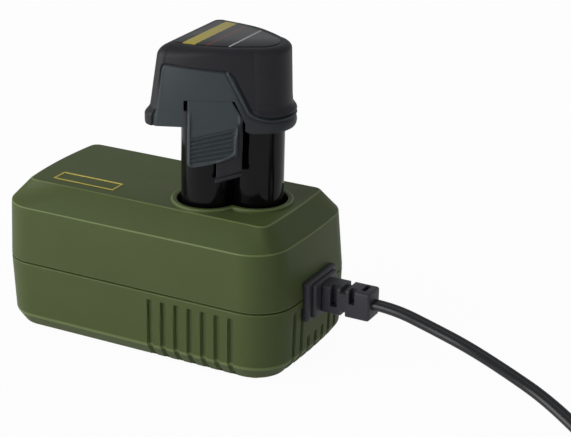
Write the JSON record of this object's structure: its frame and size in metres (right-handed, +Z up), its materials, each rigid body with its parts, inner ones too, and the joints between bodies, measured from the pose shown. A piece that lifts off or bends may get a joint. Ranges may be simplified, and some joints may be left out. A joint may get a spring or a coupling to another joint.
{
  "type": "power tool battery charger",
  "caption": "Mains charger for cordless power tools with a stalk-type battery pack standing in its three-lobed socket, with its lead and plug.",
  "frame": {"origin": "on the surface the charger stands on, under the middle of its case", "axes": "+Z up, +X along the case towards the mains lead, -Y towards the long front side"},
  "size_m": [0.3782, 0.0997, 0.1271],
  "materials": {
    "case_plastic": "fine spark-eroded texture, satin",
    "black_plastic": "plain moulded",
    "screw_steel": "zinc plated",
    "contact_brass": "bright, tin-free",
    "board_laminate": "green solder mask",
    "ferrite": "sintered, dull",
    "winding_tape": "polyester tape over enamelled wire",
    "capacitor_sleeve": "shrink sleeve",
    "heat_sink_metal": "extruded",
    "fuse_glass": "clear tube with plated caps",
    "terminal_plastic": "moulded nylon",
    "badge_plate": "printed film, yellow frame line, bare field",
    "cord_rubber": "soft black PVC, satin",
    "lead_sleeve": "PVC core insulation",
    "cord_sheath": "soft black PVC, satin",
    "tie_plastic": "paper-covered wire tie",
    "plug_plastic": "moulded PVC",
    "pin_brass": "nickel-plated brass",
    "cap_plastic": "satin moulded",
    "latch_plastic": "satin moulded, a little lighter",
    "stalk_plastic": "polished black",
    "cell_sleeve": "shrink sleeve",
    "nickel": "nickel strip",
    "label_film": "laminated sticker with three plain coloured lines"
  },
  "bodies": {
    "charger": {"lower_shell": "case_plastic", "upper_shell": "case_plastic", "socket_well": "black_plastic", "well_screws": "screw_steel", "contact_block": "black_plastic", "charging_contacts": "contact_brass", "contact_leads": "contact_brass", "case_screws": "screw_steel", "board_screws": "screw_steel", "circuit_board": "board_laminate", "transformer_core": "ferrite", "transformer_winding": "winding_tape", "bobbin_pins": "contact_brass", "input_capacitor": "capacitor_sleeve", "output_capacitors": "capacitor_sleeve", "heat_sink": "heat_sink_metal", "power_transistor": "black_plastic", "rectifier": "black_plastic", "mains_fuse": "fuse_glass", "line_choke": "ferrite", "mains_terminal": "terminal_plastic", "name_badge": "badge_plate", "strain_relief": "cord_rubber", "mains_leads": "lead_sleeve", "mains_cord": "cord_sheath", "cord_coil": "cord_sheath", "cord_tail": "cord_sheath", "cord_tie": "tie_plastic", "plug_body": "plug_plastic", "plug_pins": "pin_brass"},
    "battery": {"battery_cap": "cap_plastic", "battery_skirt": "cap_plastic", "stalk_case": "stalk_plastic", "cell_apex": "cell_sleeve", "cell_rear": "cell_sleeve", "cell_front": "cell_sleeve", "cell_cradle": "black_plastic", "cell_spacer": "black_plastic", "nickel_strips": "nickel", "protection_board": "board_laminate", "battery_terminals": "contact_brass", "battery_label": "label_film", "pack_screws": "screw_steel"},
    "front_latch_tab": {"front_latch": "latch_plastic"},
    "rear_latch_tab": {"rear_latch": "latch_plastic"}
  },
  "joints": [
    {"name": "battery_lift", "type": "slide", "parent": "charger", "child": "battery", "axis": [0, 0, 1], "range_m": [0, 0.06]},
    {"name": "front_latch_press", "type": "hinge", "parent": "battery", "child": "front_latch_tab", "pos_m": [0.02792, -0.01909, 0.1062], "axis": [0.8829, 0.4695, 0], "range_deg": [0, 2], "stiffness_Nm_per_rad": 4},
    {"name": "rear_latch_press", "type": "hinge", "parent": "battery", "child": "rear_latch_tab", "pos_m": [0.02792, 0.01909, 0.1062], "axis": [-0.8829, 0.4695, 0], "range_deg": [0, 2], "stiffness_Nm_per_rad": 4}
  ]
}
